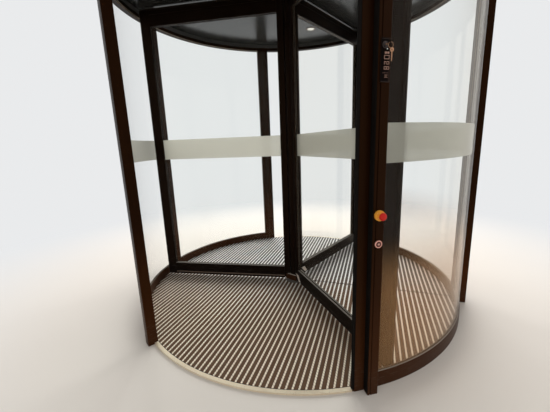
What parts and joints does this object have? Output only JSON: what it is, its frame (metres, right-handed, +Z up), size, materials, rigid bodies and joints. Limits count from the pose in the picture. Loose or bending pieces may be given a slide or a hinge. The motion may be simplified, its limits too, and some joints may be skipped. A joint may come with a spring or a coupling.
{
  "type": "automatic revolving door",
  "caption": "Round glass drum with a dark bronze frame, in which three glazed wings turn on a centre shaft over a ribbed entrance mat.",
  "frame": {"origin": "on the floor, on the axis that the wings turn about", "axes": "+Z up; X runs along the facade; the lobby is at -Y and the street at +Y"},
  "size_m": [3.132, 3.08, 3.05],
  "materials": {
    "bronze_metal": "dark bronze powder coat, satin",
    "brushed_steel": "brushed stainless, slightly worn",
    "rib_metal": "worn aluminium ribs, scuffed by feet",
    "mat_insert": "dark brown ribbed textile inserts",
    "clear_glass": "clear glass with a frosted safety band at eye level",
    "gloss_ceiling": "dark grey gloss panel",
    "lamp_white": "white bezel with a bright lens",
    "brush_black": "black brush seal",
    "yellow_plastic": "yellow orange moulded plastic",
    "red_plastic": "red moulded plastic",
    "panel_black": "black membrane panel",
    "key_brass": "worn brass"
  },
  "bodies": {
    "surround": {"base_rail_lobby_right": "bronze_metal", "base_rail_street_right": "bronze_metal", "base_rail_street_left": "bronze_metal", "base_rail_lobby_left": "bronze_metal", "post_lobby_right": "bronze_metal", "post_lobby_left": "bronze_metal", "post_street_right": "bronze_metal", "post_street_left": "bronze_metal", "safety_edges": "bronze_metal", "facade_post_right": "bronze_metal", "facade_post_left": "bronze_metal", "fascia_lobby": "bronze_metal", "fascia_street": "bronze_metal", "canopy_top": "bronze_metal", "ring_beam": "bronze_metal", "bearing_collar": "bronze_metal", "thresholds": "brushed_steel", "floor_pivot": "brushed_steel", "key_switch": "brushed_steel", "mat_ribs": "rib_metal", "entrance_mat": "mat_insert", "round_glass_lobby_right": "clear_glass", "round_glass_street_right": "clear_glass", "round_glass_street_left": "clear_glass", "round_glass_lobby_left": "clear_glass", "ceiling": "gloss_ceiling", "downlights": "lamp_white", "stop_collar": "yellow_plastic", "mode_panel": "panel_black"},
    "rotor": {"centre_shaft": "bronze_metal", "wing_a_stiles": "bronze_metal", "wing_a_rails": "bronze_metal", "wing_a_glass": "clear_glass", "wing_a_seals": "brush_black", "wing_b_stiles": "bronze_metal", "wing_b_rails": "bronze_metal", "wing_b_glass": "clear_glass", "wing_b_seals": "brush_black", "wing_c_stiles": "bronze_metal", "wing_c_rails": "bronze_metal", "wing_c_glass": "clear_glass", "wing_c_seals": "brush_black"},
    "stop": {"stop_button": "red_plastic"},
    "switch_core": {"key_barrel": "brushed_steel"},
    "selector": {"mode_key": "key_brass"}
  },
  "joints": [
    {"name": "rotor_turn", "type": "hinge", "parent": "surround", "child": "rotor", "pos_m": [0, 0, 1.3], "axis": [0, 0, 1], "continuous": true},
    {"name": "stop_press", "type": "slide", "parent": "surround", "child": "stop", "axis": [-0.5195, 0.8545, 0], "range_m": [0, 0.006]},
    {"name": "switch_turn", "type": "hinge", "parent": "surround", "child": "switch_core", "pos_m": [0.80006, -1.31587, 0.911], "axis": [0.5195, -0.8545, 0], "range_deg": [-90, 0]},
    {"name": "selector_turn", "type": "hinge", "parent": "surround", "child": "selector", "pos_m": [0.80006, -1.31587, 1.848], "axis": [0.5195, -0.8545, 0], "range_deg": [-60, 60]}
  ]
}
